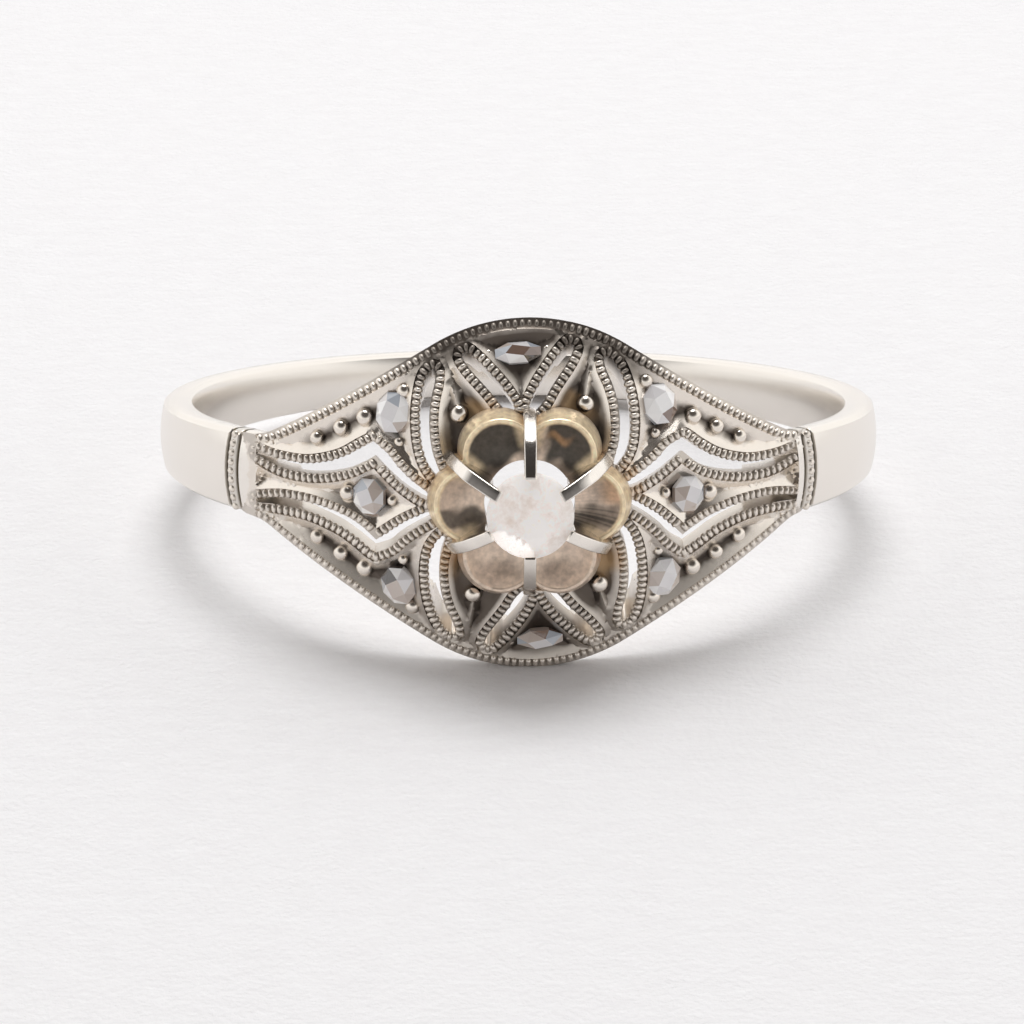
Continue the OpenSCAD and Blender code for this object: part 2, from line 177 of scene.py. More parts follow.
def smooth_line(points, step):
    """A smooth line through the points, with a point about every step."""
    p = np.asarray(points, float)
    ends = np.vstack([2 * p[0] - p[1], p, 2 * p[-1] - p[-2]])
    parts = []
    for i in range(len(p) - 1):
        a, b, c, d = ends[i : i + 4]
        n = max(1, ceil(np.linalg.norm(c - b) / step))
        t = np.linspace(0, 1, n, endpoint=False)[:, None]
        squared, cubed = 2 * a - 5 * b + 4 * c - d, 3 * b - a - 3 * c + d
        parts.append(0.5 * (2 * b + (c - a) * t + squared * t ** 2 + cubed * t ** 3))
    parts.append(p[-1:])
    return np.vstack(parts)


def slit_outline(rows, corner, step):
    """The closed outline of one slit, with round ends."""
    rows = np.array(rows)
    at, n = rows[:, :2], len(rows)
    d = unit(np.array([at[min(i + 1, n - 1)] - at[max(i - 1, 0)] for i in range(n)]))
    beside = np.stack([-d[:, 1], d[:, 0]], 1)
    out = beside * rows[:, 2:] / 2
    sides = []
    for side in (at + out, at - out):
        if corner is None:
            sides.append(smooth_line(side, step))
        else:
            before, after = smooth_line(side[: corner + 1], step), smooth_line(side[corner:], step)
            sides.append(np.vstack([before[:-1], after]))
    turns = np.radians([55, 20, -20, -55])[:, None]
    caps = []
    for i, way in ((n - 1, 1), (0, -1)):
        round_end = np.cos(turns) * d[i] + np.sin(turns) * beside[i]
        caps.append(at[i] + rows[i, 2] / 2 * way * round_end)
    return np.vstack([sides[0], caps[0], sides[1][::-1], caps[1]])


def counterclockwise(p):
    q = np.roll(p, -1, 0)
    return p if (p[:, 0] * q[:, 1] - q[:, 0] * p[:, 1]).sum() > 0 else p[::-1]


def all_slits(step):
    lines = [slit_outline(rows, corner, step) for rows, corner in SLITS]
    return [counterclockwise(settled(line * q)) for line in lines for q in QUARTERS]


def rim_line(step):
    """The rim's outline: a round middle, a straight slope and a flare that runs under the band."""
    lean = radians(RIM_SLOPE_DEG)
    arc_x, arc_up = RIM_ARC_R * sin(lean), HEAD_H / 2 - RIM_ARC_R + RIM_ARC_R * cos(lean)
    flare_up = arc_up - (FLARE_X - arc_x) * tan(lean)
    flare_r = (flare_up - BAND_SEAM_W / 2) / (1 - cos(lean))
    flare_end = FLARE_X + flare_r * sin(lean)
    a = np.linspace(0, lean, 24)
    arc = np.stack([RIM_ARC_R * np.sin(a), HEAD_H / 2 - RIM_ARC_R * (1 - np.cos(a))], 1)
    a = np.linspace(lean, 0, 8)
    flare = np.stack([flare_end - flare_r * np.sin(a), BAND_SEAM_W / 2 + flare_r * (1 - np.cos(a))], 1)
    tail = [(flare_end + 0.5, BAND_SEAM_W / 2 - 0.15)]
    quarter = np.vstack([arc, flare, tail])
    loop = np.vstack([quarter, (quarter * [1, -1])[::-1], quarter * [-1, -1], (quarter * [-1, 1])[::-1]])
    keep = np.linalg.norm(loop - np.roll(loop, 1, 0), axis=1) > 1e-6
    return counterclockwise(resampled(loop[keep], step) + [HEAD_SHIFT, 0])


def resampled(loop, step):
    """A closed loop with even spacing that keeps its own corners."""
    parts = []
    for a, b in zip(loop, np.roll(loop, -1, 0)):
        n = max(1, round(np.linalg.norm(b - a) / step))
        parts.append(a + (b - a) * np.linspace(0, 1, n, endpoint=False)[:, None])
    return np.vstack(parts)


def outward_of(loop):
    """Unit normals that point out of a counterclockwise loop."""
    d = unit(np.roll(loop, -1, 0) - np.roll(loop, 1, 0))
    return np.stack([d[:, 1], -d[:, 0]], 1)


def tree_from(points):
    """A search tree over points of the drawing."""
    tree = kdtree.KDTree(len(points))
    for i, p in enumerate(points):
        tree.insert((p[0], p[1], 0), i)
    tree.balance()
    return tree


def tree_of(loops, step=0.02):
    return tree_from(np.vstack([resampled(loop, step) for loop in loops]))


def far(tree, points):
    """How far each point is from the nearest one in the tree."""
    return np.array([tree.find((p[0], p[1], 0))[2] for p in points])


def inside(loop, points):
    """Which points lie in a closed loop."""
    found = np.zeros(len(points), bool)
    low, high = loop.min(0), loop.max(0)
    near = np.nonzero(((points > low) & (points < high)).all(1))[0]
    if not len(near):
        return found
    x, y = points[near, 0][:, None], points[near, 1][:, None]
    a, b = loop, np.roll(loop, -1, 0)
    crosses = (a[:, 1] > y) != (b[:, 1] > y)
    with np.errstate(divide="ignore", invalid="ignore"):
        at = a[:, 0] + (y - a[:, 1]) * (b[:, 0] - a[:, 0]) / (b[:, 1] - a[:, 1])
    found[near] = (crosses & (x < at)).sum(1) % 2 == 1
    return found


def dome_normal(q):
    q = np.atleast_2d(q)
    y = -np.sqrt(np.maximum(DOME_R ** 2 - (q ** 2).sum(1), 0.01))
    return np.stack([q[:, 0], y, q[:, 1]], 1) / DOME_R


def on_dome(q, r=DOME_R):
    """Points of the settled drawing on the ball of radius r, straight out from its middle."""
    return np.array([0, DOME_Y, 0]) + dome_normal(q) * np.asarray(r).reshape(-1, 1)


def slope(x, a, b):
    """From 0 at a to 1 at b in a straight line."""
    return np.clip((x - a) / (b - a), 0, 1)


def ramp(x, a, b):
    """From 0 at a to 1 at b, soft at both ends."""
    t = slope(x, a, b)
    return t * t * (3 - 2 * t)


# Meshes


def laid(verts):
    """Places in ring millimetres, laid down in the rest pose."""
    m = np.array(LAID)
    return np.asarray(verts, float) @ m[:3, :3].T + m[:3, 3]


def new_mesh(name, verts, faces, material, smooth_deg=None, **paint):
    """A mesh given in ring millimetres: flat at 0 degrees, and smooth all over where none are given."""
    mesh = bpy.data.meshes.new(name)
    mesh.from_pydata(laid(verts).tolist(), [], [list(map(int, f)) for f in faces])
    mesh.validate()
    mesh.update()
    for key, values in paint.items():
        values = np.asarray(values, np.float32)
        if values.ndim == 1:
            domain = "POINT" if len(values) == len(verts) else "FACE"
            mesh.attributes.new(key, "FLOAT", domain).data.foreach_set("value", values)
        else:
            rgba = np.hstack([values, np.ones((len(values), 1), np.float32)])
            mesh.attributes.new(key, "FLOAT_COLOR", "POINT").data.foreach_set("color", rgba.ravel())
    if smooth_deg != 0:
        mesh.shade_smooth()
    if smooth_deg:
        mesh.set_sharp_from_angle(angle=radians(smooth_deg))
    mesh.materials.append(material)
    return linked(name, mesh)


def grid_faces(rings, m, closed=False):
    """Faces between rings of m points, and from the last ring to the first where it is closed."""
    return [
        [i * m + k, i * m + (k + 1) % m, (i + 1) % rings * m + (k + 1) % m, (i + 1) % rings * m + k]
        for i in range(rings if closed else rings - 1)
        for k in range(m)
    ]


def joined(parts):
    """(verts, faces) of several meshes as one."""
    verts, faces, start = [], [], 0
    for v, f in parts:
        verts.append(np.asarray(v, float))
        faces += [[i + start for i in face] for face in f]
        start += len(v)
    return np.vstack(verts), faces


def ball_mesh(across, rings):
    """A unit ball, its poles on z."""
    verts = [(0, 0, 1)]
    for i in range(1, rings):
        a = pi * i / rings
        for k in range(across):
            b = 2 * pi * k / across
            verts.append((sin(a) * cos(b), sin(a) * sin(b), cos(a)))
    verts.append((0, 0, -1))
    last = len(verts) - 1
    faces = []
    for k in range(across):
        n = (k + 1) % across
        faces.append([0, 1 + k, 1 + n])
        for i in range(rings - 2):
            a, b = 1 + i * across, 1 + (i + 1) * across
            faces.append([a + k, b + k, b + n, a + n])
        a = 1 + (rings - 2) * across
        faces.append([a + k, last, a + n])
    return np.array(verts), faces


def placed(shape, at, along, across, up):
    """The shape with its x, y and z turned and stretched onto three vectors."""
    v, f = shape
    return v @ np.array([along, across, up]) + at, f


# Materials


def put(tree, node, key, value):
    """Sets a socket to a value, or links another node's output to it."""
    if isinstance(value, bpy.types.NodeSocket):
        tree.links.new(value, node.inputs[key])
    else:
        node.inputs[key].default_value = value


def add(tree, kind, **sockets):
    """A new node with values or links on its sockets; an underscore stands for a space."""
    node = tree.nodes.new("ShaderNode" + kind)
    for key, value in sockets.items():
        put(tree, node, key.replace("_", " "), value)
    return node


def shader(name, **values):
    """A new material, its tree, and its shader with the values on the shader's own sockets."""
    mat = bpy.data.materials.new(name)
    mat.use_nodes = True
    node = mat.node_tree.nodes["Principled BSDF"]
    for key, value in values.items():
        put(mat.node_tree, node, key.replace("_", " "), value)
    return mat, mat.node_tree, node


def painted(tree, name):
    """The outputs of a value or colour that is painted on the mesh."""
    node = add(tree, "Attribute")
    node.attribute_name = name
    return node.outputs


def noise(tree, scale, detail, **more):
    """Fine noise over the object's own place."""
    place = add(tree, "TexCoord").outputs["Object"]
    return add(tree, "TexNoise", Vector=place, Scale=scale, Detail=detail, **more).outputs["Fac"]


def bump(tree, height, strength, distance):
    return add(tree, "Bump", Height=height, Strength=strength, Distance=distance).outputs["Normal"]


def arithmetic(tree, operation, *values, clamp=False):
    node = add(tree, "Math")
    node.operation, node.use_clamp = operation, clamp
    for index, value in enumerate(values):
        put(tree, node, index, value)
    return node.outputs[0]


def spread(tree, value, low, high, start=0.0, end=1.0):
    """The value's stretch from start to end, spread from low to high."""
    node = add(tree, "MapRange", Value=value, From_Min=start, From_Max=end, To_Min=low, To_Max=high)
    return node.outputs["Result"]


def mixed_colours(tree, share, a, b):
    """A mix of two colours, each one given or another node's output."""
    mix = add(tree, "Mix")
    mix.data_type = "RGBA"
    put(tree, mix, "Factor", share)
    for key, value in (("A", a), ("B", b)):
        put(tree, mix, key, (*value, 1) if isinstance(value, tuple) else value)
    return mix.outputs["Result"]


GILDING = (0.66, 0.42, 0.2)
# The height of the fine scratches in metal, in metres.
SCRATCH = 0.00002


def metal(name, clean, dirty, rough, rough_dirty, bump_strength=0.25, bump_scale=9000.0, wander=0.4):
    """Worn metal whose colour and gloss follow an attribute of dirt and painted shade, with stains of old
    gilding.
    """
    mat, tree, node = shader(name, Metallic=1.0)
    shift = arithmetic(tree, "MULTIPLY_ADD", noise(tree, 1400.0, 5.0), wander, -wander / 2)
    level = arithmetic(tree, "ADD", painted(tree, "dirt")["Fac"], shift, clamp=True)
    base = mixed_colours(tree, level, clean, dirty)
    base = mixed_colours(tree, painted(tree, "stain")["Fac"], base, GILDING)
    put(tree, node, "Base Color", base)
    put(tree, node, "Roughness", spread(tree, level, rough, rough_dirty))
    put(tree, node, "Normal", bump(tree, noise(tree, bump_scale, 3.0), bump_strength, SCRATCH))
    return mat


# The dark end of each metal stands for dirt and for painted shade; on the claws it is a painted dark
# reflection.
PALE, GRIME_AND_SHADE = (0.83, 0.765, 0.69), (0.12, 0.1, 0.085)
GOLD = metal("white_gold", PALE, GRIME_AND_SHADE, 0.22, 0.45, 0.05)
CLAW_GOLD = metal("claw_gold", (0.88, 0.83, 0.77), (0.05, 0.044, 0.042), 0.18, 0.3)
BEAD_GOLD = metal("milgrain_gold", PALE, GRIME_AND_SHADE, 0.36, 0.5, 0.05)
BAND_GOLD = metal("band_gold", (0.86, 0.815, 0.76), (0.1, 0.08, 0.05), 0.26, 0.42, 0.05, 4000.0, 0.04)


def toned_gold(name):
    """Old gilding with its colour, stains, painted highlights and painted shade set on the mesh, and fine
    dust.
    """
    mat, tree, node = shader(name, Metallic=0.6, Roughness=0.32)
    grain = noise(tree, 7000.0, 8.0)
    dusty = add(tree, "VectorMath")
    dusty.operation = "SCALE"
    put(tree, dusty, 0, painted(tree, "tone")["Color"])
    put(tree, dusty, "Scale", spread(tree, grain, 0.78, 1.16, 0.3, 0.7))
    put(tree, node, "Base Color", dusty.outputs["Vector"])
    put(tree, node, "Normal", bump(tree, grain, 0.3, SCRATCH))
    return mat


def frosted(name):
    """The middle stone: cloudy, pinkish white, with fine brown flecks and a faint painted glow as of light
    shining through it.
    """
    # A faint painted glow over the whole stone stands for light shining through it; the chip glows more.
    mat, tree, node = shader(
        name, IOR=1.45, Roughness=0.4, Subsurface_Weight=0.8, Subsurface_Scale=0.003,
        Subsurface_Radius=(1.0, 0.95, 0.92), Emission_Color=(1.0, 0.91, 0.86, 1),
    )
    cloud = noise(tree, 1700.0, 8.0, Roughness=0.65)
    tint = add(tree, "ValToRGB", Fac=cloud)
    stops = tint.color_ramp.elements
    stops[0].position, stops[1].position = 0.36, 0.56
    stops[0].color, stops[1].color = (0.72, 0.61, 0.55, 1), (1.0, 0.94, 0.91, 1)
    flecks = spread(tree, noise(tree, 2100.0, 9.0, Distortion=0.6), 0.0, 0.6, 0.54, 0.72)
    base = mixed_colours(tree, flecks, tint.outputs["Color"], (0.50, 0.37, 0.29))
    # The attribute of dirt and painted light marks the chip here: a broken face painted with a white glint
    # that glows brighter.
    chip = painted(tree, "dirt")["Fac"]
    put(tree, node, "Base Color", mixed_colours(tree, chip, base, (1.0, 1.0, 1.0)))
    put(tree, node, "Emission Strength", spread(tree, chip, 0.13, 0.45))
    put(tree, node, "Normal", bump(tree, cloud, 0.5, 0.00003))
    return mat


# Painted reflections for the small stones' facets, dark, brown, taupe, steel, pale and white: tint attribute
# and colour.
FACET_REFLECTIONS = {
    "d": (0.0, (0.045, 0.033, 0.028, 1)),
    "b": (0.2, (0.20, 0.13, 0.10, 1)),
    "t": (0.4, (0.58, 0.50, 0.45, 1)),
    "s": (0.6, (0.42, 0.45, 0.50, 1)),
    "p": (0.8, (0.78, 0.76, 0.77, 1)),
    "w": (1.0, (0.95, 0.94, 0.94, 1)),
}


def sparkling(name):
    """Small stones: each facet shows its own painted reflection, from dark to white."""
    mat, tree, node = shader(name, IOR=2.0, Roughness=0.06, Coat_Weight=0.4, Coat_Roughness=0.05)
    tones = add(tree, "ValToRGB", Fac=painted(tree, "tint")["Fac"])
    stops = tones.color_ramp.elements
    for letter in "btsp":
        stops.new(FACET_REFLECTIONS[letter][0])
    for stop, (_, colour) in zip(stops, FACET_REFLECTIONS.values()):
        stop.color = colour
    put(tree, node, "Base Color", tones.outputs["Color"])
    return mat


def paper(name):
    """Pale paper with fine fibres that run across the picture."""
    mat, tree, node = shader(name, Roughness=0.85)
    place = add(tree, "TexCoord").outputs["Object"]
    along = add(tree, "Mapping", Vector=place, Scale=(900.0, 2200.0, 900.0)).outputs["Vector"]
    fibres = add(tree, "TexNoise", Vector=along, Scale=1.0, Detail=8.0, Roughness=0.7).outputs["Fac"]
    tones = mixed_colours(tree, fibres, (0.815, 0.802, 0.818), (0.935, 0.934, 0.948))
    put(tree, node, "Base Color", tones)
    put(tree, node, "Normal", bump(tree, noise(tree, 5200.0, 4.0), 0.45, 0.0001))
    return mat


def dress(obj, node="ring_metalwork"):
    """Hides the CAD part that the piece stands in for and hangs the piece on the root body."""
    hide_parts(node)
    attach(obj, "root")


# The pierced head. Distances from a slit's or the rim's edge where the metal steps down.
WIRE_BED, WIRE_TOP, WIRE_FOOT = 0.205, 0.235, 0.56
RIM_BED, BEVEL_TOP, BEVEL_FOOT = 0.215, 0.25, 0.66
# How deep the beading's bed lies, and how much of it is gone where the rim is worn.
BED_DEPTH, WORN_SHARE = 0.07, 0.6
# The fields end here beside the band, measured from the head's middle.
END_TOP, END_FOOT = FIELD_X, FIELD_X - 0.22
# From here to there, across, the head's front sinks under the band and its back under the band's bore.
FRONT_DIP, BACK_DIP = (7.12, 7.24), (7.05, 7.12)
# How far faces that lie over each other keep apart, and how deep the front sinks.
SKIN, FRONT_SKIN, FRONT_SINK = 0.03, 0.012, 0.25
# Half the width of the step from the frame into the hollow behind the dome.
STEP = 0.05
# Farther than any distance that matters here.
FAR_OFF = 9.0
# The space between points of the drawing: in a row of the grid, and the least one.
GRID, LEAST = 0.13, 0.035

SLIT_LOOPS = all_slits(0.07)
RIM_LOOP = rim_line(0.08)
hole_turns = np.radians(np.arange(0, 360, 3.75))
HOLE_LOOP = np.stack([HEAD_SHIFT + HOLE_R * np.cos(hole_turns), HOLE_R * np.sin(hole_turns)], 1)
CUTS = SLIT_LOOPS + [HOLE_LOOP]
SLIT_TREE, RIM_TREE, HOLE_TREE = tree_of(SLIT_LOOPS), tree_of([RIM_LOOP]), tree_of([HOLE_LOOP])
FOLDS = [settled(smooth_line(LEAF_FOLD, 0.04) * q) for q in QUARTERS]
FOLD_TREE = tree_from(np.vstack(FOLDS))


def all_grains():
    """The place and radius of every grain."""
    tables = ((GRAINS, QUARTERS), (SIDE_GRAINS, SIDES), (V_GRAINS, QUARTERS))
    rows = [(g, q) for table, places in tables for g in table for q in places]
    return [(settled([g[0] * q[0], g[1] * q[1]])[0], g[2]) for g, q in rows]


def worn(x, y):
    """The stretch of rim over the flower where the beading is worn smooth."""
    return ramp(x, -2.9, -1.9) * (1 - ramp(x, 0.9, 1.7)) * (y > 0)


def field_depth(q):
    """How deep the front lies under the dome: wires and rim stand, the fields are sunk."""
    slit, rim = far(SLIT_TREE, q), far(RIM_TREE, q)
    fold = FIELD_DEPTH * (0.3 + 0.7 * slope(far(FOLD_TREE, q), 0.02, 0.2))
    wire_bed = BED_DEPTH * (1 - slope(slit, WIRE_BED, WIRE_TOP))
    rim_bed = BED_DEPTH * (1 - slope(rim, RIM_BED, BEVEL_TOP)) * (1 - WORN_SHARE * worn(*q.T))
    wire = FIELD_DEPTH * slope(slit, WIRE_TOP, WIRE_FOOT) + wire_bed
    edge = FIELD_DEPTH * slope(rim, BEVEL_TOP, BEVEL_FOOT) + rim_bed
    end = FIELD_DEPTH * (1 - slope(np.abs(q[:, 0] - HEAD_SHIFT), END_FOOT, END_TOP))
    return np.minimum(np.minimum(wire, edge), np.minimum(end, fold)), slit, rim


def crown_at(z):
    """The band's outer radius at the height z."""
    return BAND_R - BAND_CROWN_R + np.sqrt(BAND_CROWN_R ** 2 - z * z)


def band_front(q):
    """How far in front of the finger's axis the band's crown lies."""
    crown = crown_at(np.minimum(np.abs(q[:, 1]), 2))
    return np.sqrt(np.maximum(crown ** 2 - q[:, 0] ** 2, 0))


def front_points(q):
    """The front of the head, with its depth and the distances to the slits and the rim."""
    depth, slit, rim = field_depth(q)
    r = DOME_R - depth
    ahead = -DOME_Y + np.sqrt(np.maximum(r ** 2 - (q ** 2).sum(1), 0))
    past_field = np.abs(q[:, 0] - HEAD_SHIFT) > END_TOP
    under = FRONT_SKIN + FRONT_SINK * ramp(np.abs(q[:, 0]), *FRONT_DIP)
    ahead = np.where(past_field, np.maximum(ahead, band_front(q) + 0.01) - under, ahead)
    ahead = np.where(np.abs(q[:, 0]) > FRONT_DIP[0], band_front(q) - under, ahead)
    return np.stack([q[:, 0], -ahead, q[:, 1]], 1), depth, slit, rim


def rim_normals(q):
    """The rim outline's outward direction nearest to each point."""
    tree = tree_from(RIM_LOOP)
    normals = outward_of(RIM_LOOP)
    return np.array([normals[tree.find((p[0], p[1], 0))[1]] for p in q])


def back_points(q, front, rim):
    """Where the saw's line through each point leaves the metal at the back."""
    hole = far(HOLE_TREE, q)
    w = ramp(np.minimum(rim, hole), 0.02, 0.4)[:, None]
    lean = np.where(rim < hole, RIM_LEAN, 0.0)[:, None] * rim_normals(q)
    wall = np.stack([lean[:, 0], np.full(len(q), -1.0), lean[:, 1]], 1)
    way = -(w * dome_normal(q) * [SAW_LEAN, 1, 1] + (1 - w) * wall)
    start = on_dome(q)

    def hit(middle, radius, axes):
        p, d = (start - middle)[:, axes], way[:, axes]
        a, b, c = (d * d).sum(1), (p * d).sum(1), (p * p).sum(1) - radius ** 2
        root = np.sqrt(np.maximum(b * b - a * c, 0))
        return np.where(b * b - a * c > 0, (-b - root) / a, FAR_OFF)

    # Past the slits the head's back dips under the band's inner face.
    bore = hit(np.zeros(3), FINGER_R + SKIN * slope(np.abs(q[:, 0]), *BACK_DIP), [0, 1])
    ball = hit(np.array([0, DOME_Y, 0]), INNER_R, [0, 1, 2])
    hollow = slope(rim, HOLLOW_IN - STEP, HOLLOW_IN + STEP)
    hollow *= 1 - slope(np.abs(q[:, 0]), HOLLOW_X - STEP, HOLLOW_X + STEP)
    s = np.where(ball > 0, bore + hollow * (np.minimum(bore, ball) - bore), bore)
    back = start + way * s[:, None]
    back[:, 1] = np.maximum(back[:, 1], front[:, 1] + SKIN)
    return back


def offset_rows(loops, distances, tree, step):
    """Points on lines at even distances outside the loops."""
    found = []
    for loop in loops:
        for d in distances:
            line = resampled(loop + d * outward_of(loop), step)
            found.append(line[far(tree, line) > 0.93 * abs(d)])
    return np.vstack(found)


def upright_rows(places, middle, reach, step):
    """Points on upright lines at these places on both sides of the middle."""
    up = np.arange(-reach, reach, step)
    return [np.stack([np.full_like(up, middle + s * x), up], 1) for x in places for s in (1, -1)]


def head_drawing():
    """The head's flat drawing in triangles, with a point wherever the height changes."""
    slit_rows = (0.05, 0.12, 0.2, 0.235, 0.3, 0.4, 0.48)
    rim_rows = (-0.05, -0.13, -0.21, -0.25, -0.35, -0.5, -0.66, STEP - HOLLOW_IN, -STEP - HOLLOW_IN)
    rows = [
        offset_rows(SLIT_LOOPS, slit_rows, SLIT_TREE, 0.08),
        offset_rows([RIM_LOOP], rim_rows, RIM_TREE, 0.1),
    ]
    for line in FOLDS:
        side = unit(np.stack([np.gradient(line[:, 1]), -np.gradient(line[:, 0])], 1))
        rows += [line + off * side for off in (0.0, 0.1, -0.1, 0.2, -0.2)]
    rows += upright_rows((END_FOOT, (END_FOOT + END_TOP) / 2, END_TOP), HEAD_SHIFT, 1.3, 0.09)
    rows += upright_rows((HOLLOW_X - STEP, HOLLOW_X + STEP, *BACK_DIP, FRONT_DIP[1]), 0.0, 2.0, 0.12)
    across = np.arange(-7.8, 7.9, GRID)
    grid = [(x + (j % 2) * GRID / 2, j * GRID * 0.866) for j in range(-40, 41) for x in across]
    rows.append(np.array(grid))

    loops = CUTS + [RIM_LOOP]
    kept = np.vstack(loops)
    edges, start = [], 0
    for loop in loops:
        edges += [(start + i, start + (i + 1) % len(loop)) for i in range(len(loop))]
        start += len(loop)
    for points in rows:
        points = points[in_metal(points)]
        kept = np.vstack([kept, points[far(tree_from(kept), points) > LEAST]])
    result = delaunay_2d_cdt([Vector(p) for p in kept.tolist()], edges, [], 0, 1e-6)
    q = np.array([tuple(v) for v in result[0]])
    faces = np.array([f for f in result[2] if len(f) == 3])
    return q, faces[in_metal(q[faces].mean(1))]


def in_metal(points):
    """Which points lie in the rim's outline and in none of the cuts."""
    good = inside(RIM_LOOP, points)
    for loop in CUTS:
        good &= ~inside(loop, points)
    return good


def top_shade(q):
    """Painted shade: the rim's dark stretch over the flower, and a little low down in the middle."""
    middle = 1 - ramp(np.abs(q[:, 0] - 0.2), 2.3, 3.6)
    dark = middle * ramp(q[:, 1], 2.2, 2.8)
    low = 0.05 * middle * ramp(-q[:, 1], 1.8, 2.8)
    return 0.78 * dark * (1 - ramp(far(RIM_TREE, q), 0.5, 0.72)) + low


def flower_shade(q):
    """Painted shade on the ground beside the flower."""
    return 1 - ramp(np.hypot((q[:, 0] - HEAD_SHIFT) / 2.75, q[:, 1] / 4.3), 0.78, 1.04)


# Old gilding round the flower: the middles of the stained stretches, as angles from the right.
STAIN_TURNS = (12, 62, 118, 168, 214, 322)


def gilt_stain(q):
    """How much old gilding is left on the metal round the flower."""
    x, y = q[:, 0] - HEAD_SHIFT, q[:, 1]
    off = np.abs(np.hypot(x, y) - 2.55 - 0.1 * np.sin(7 * x + 5 * y))
    turn = np.degrees(np.arctan2(y, x)) % 360
    near = np.min([np.abs((turn - middle + 180) % 360 - 180) for middle in STAIN_TURNS], axis=0)
    return 0.45 * (1 - ramp(off, 0.08, 0.45)) * (1 - ramp(near, 3, 17))


# The middle of a row of grains and the way it runs, for the painted shade along it.
CHANNEL_RUN = Vector((-1.23, 0.67)).normalized()
CHANNEL_TURN = np.array([[CHANNEL_RUN.x, -CHANNEL_RUN.y], [CHANNEL_RUN.y, CHANNEL_RUN.x]])
CHANNEL_AT = np.array([4.85, 1.6]) @ CHANNEL_TURN


def head_dirt(q, depth, slit, rim):
    """Painted shade on the front: in the beading's bed, beside and along the grains, round the flower and in
    the top fields, growing towards the bottom, and darker in the fields' deepest part.
    """
    sunk = depth / FIELD_DEPTH
    # Painted shade in the beading's bed between the beads.
    bed = np.maximum(1 - slope(slit, WIRE_BED, WIRE_TOP), 1 - slope(rim, RIM_BED, BEVEL_TOP))
    near_grain = np.full(len(q), FAR_OFF)
    for at, r in all_grains():
        # The painted shadow lies on the grain's side toward the flower.
        middle = at - [0.75 * r * np.sign(at[0]), 0]
        near_grain = np.minimum(near_grain, np.hypot(*((q - middle) * [0.8, 1.15]).T) - r)
    # Painted shadow beside each grain, in the sunk field.
    grain_shadow = (1 - ramp(near_grain, 0.03, 0.26)) * ramp(sunk, 0.4, 0.8)
    # Painted shade along a row of grains, strongest on the lower side.
    channel = np.hypot(*(np.abs(q - [HEAD_SHIFT, 0]) @ CHANNEL_TURN - CHANNEL_AT).T * [[0.22], [1.0]])
    channel = (1 - ramp(channel, 0.1, 0.3)) * ramp(sunk, 0.4, 0.9)
    grain_shadow = np.maximum(grain_shadow, channel * np.where(q[:, 1] < 0, 0.8, 0.3))
    # Painted shade in the fields round the flower, lighter on the leaf's fold.
    near_flower = 0.85 * flower_shade(q) * ramp(sunk, 0.05, 0.5)
    near_flower *= 0.25 + 0.75 * ramp(far(FOLD_TREE, q), 0.02, 0.09)
    # Painted shade in the fields at the top.
    top_field = ramp(q[:, 1], 3.0, 3.5) * (1 - ramp(np.abs(q[:, 0]), 1.2, 2.0))
    near_flower += 0.35 * top_field * ramp(sunk, 0.1, 0.6)
    # Painted shade that grows towards the bottom, and a darker floor in the fields' deepest part.
    lower = 0.22 * ramp(-q[:, 1], 0.3, 1.5) + 0.16 * ramp(-q[:, 1], 1.5, 3.5)
    floor = 0.3 * ramp(sunk, 0.7, 1) + lower
    return np.maximum(0.35 * bed, floor + 0.75 * grain_shadow + near_flower) + top_shade(q)


def build_head():
    q, faces = head_drawing()
    front, depth, slit, rim = front_points(q)
    back = back_points(q, front, rim)
    n = len(q)
    # The drawing runs right and up, and the front looks toward -Y, so its faces keep their order.
    fronts = faces.tolist()
    directed = {(u, v): None for a, b, c in fronts for u, v in ((a, b), (b, c), (c, a))}
    walls = [[u, u + n, v + n, v] for u, v in directed if (v, u) not in directed]
    all_faces = fronts + [[c + n, b + n, a + n] for a, b, c in fronts] + walls
    # Painted shade on the front; the back is a little darker all over.
    dirt = np.concatenate([head_dirt(q, depth, slit, rim), np.full(n, 0.2)])
    stain = np.concatenate([gilt_stain(q), np.zeros(n)])
    return new_mesh("pierced_head", np.vstack([front, back]), all_faces, GOLD, 35, dirt=dirt, stain=stain)


dress(build_head())

# Milgrain. Half lengths of a bead: along the wire, across it and out of the metal.
WIRE_BEAD, RIM_BEAD, BAR_BEAD = (0.084, 0.132, 0.105), (0.09, 0.13, 0.105), (0.108, 0.11, 0.09)
# How far the row of beads lies from the edge, and the space from bead to bead.
WIRE_ROW, RIM_ROW = (0.115, 0.157), (0.112, 0.18)
# How far beads keep from a slit, the rim, the flower's middle and each other, and where the rim's row ends.
SLIT_ROOM, RIM_ROOM, FLOWER_ROOM, BEAD_ROOM, RIM_ROW_X = 0.095, 0.2, 1.9, 0.13, 6.95
# The end bar's beads: an angle from the middle of the face, a space, and how many on each side of the middle.
BAR_DEG, BAR_SPACE, BAR_SIDE = 51.45, 0.232, 4


def milled_bead():
    """A short bar across the wire with blunt ends, and painted shade in the gaps beside it."""
    v, f = ball_mesh(10, 6)
    dirt = 0.04 + 0.42 * ramp(np.abs(v[:, 0]), 0.5, 0.95)
    v[:, 1] = np.sign(v[:, 1]) * np.abs(v[:, 1]) ** 0.7
    return (v, f), dirt


BEAD, BEAD_GAP_SHADE = milled_bead()


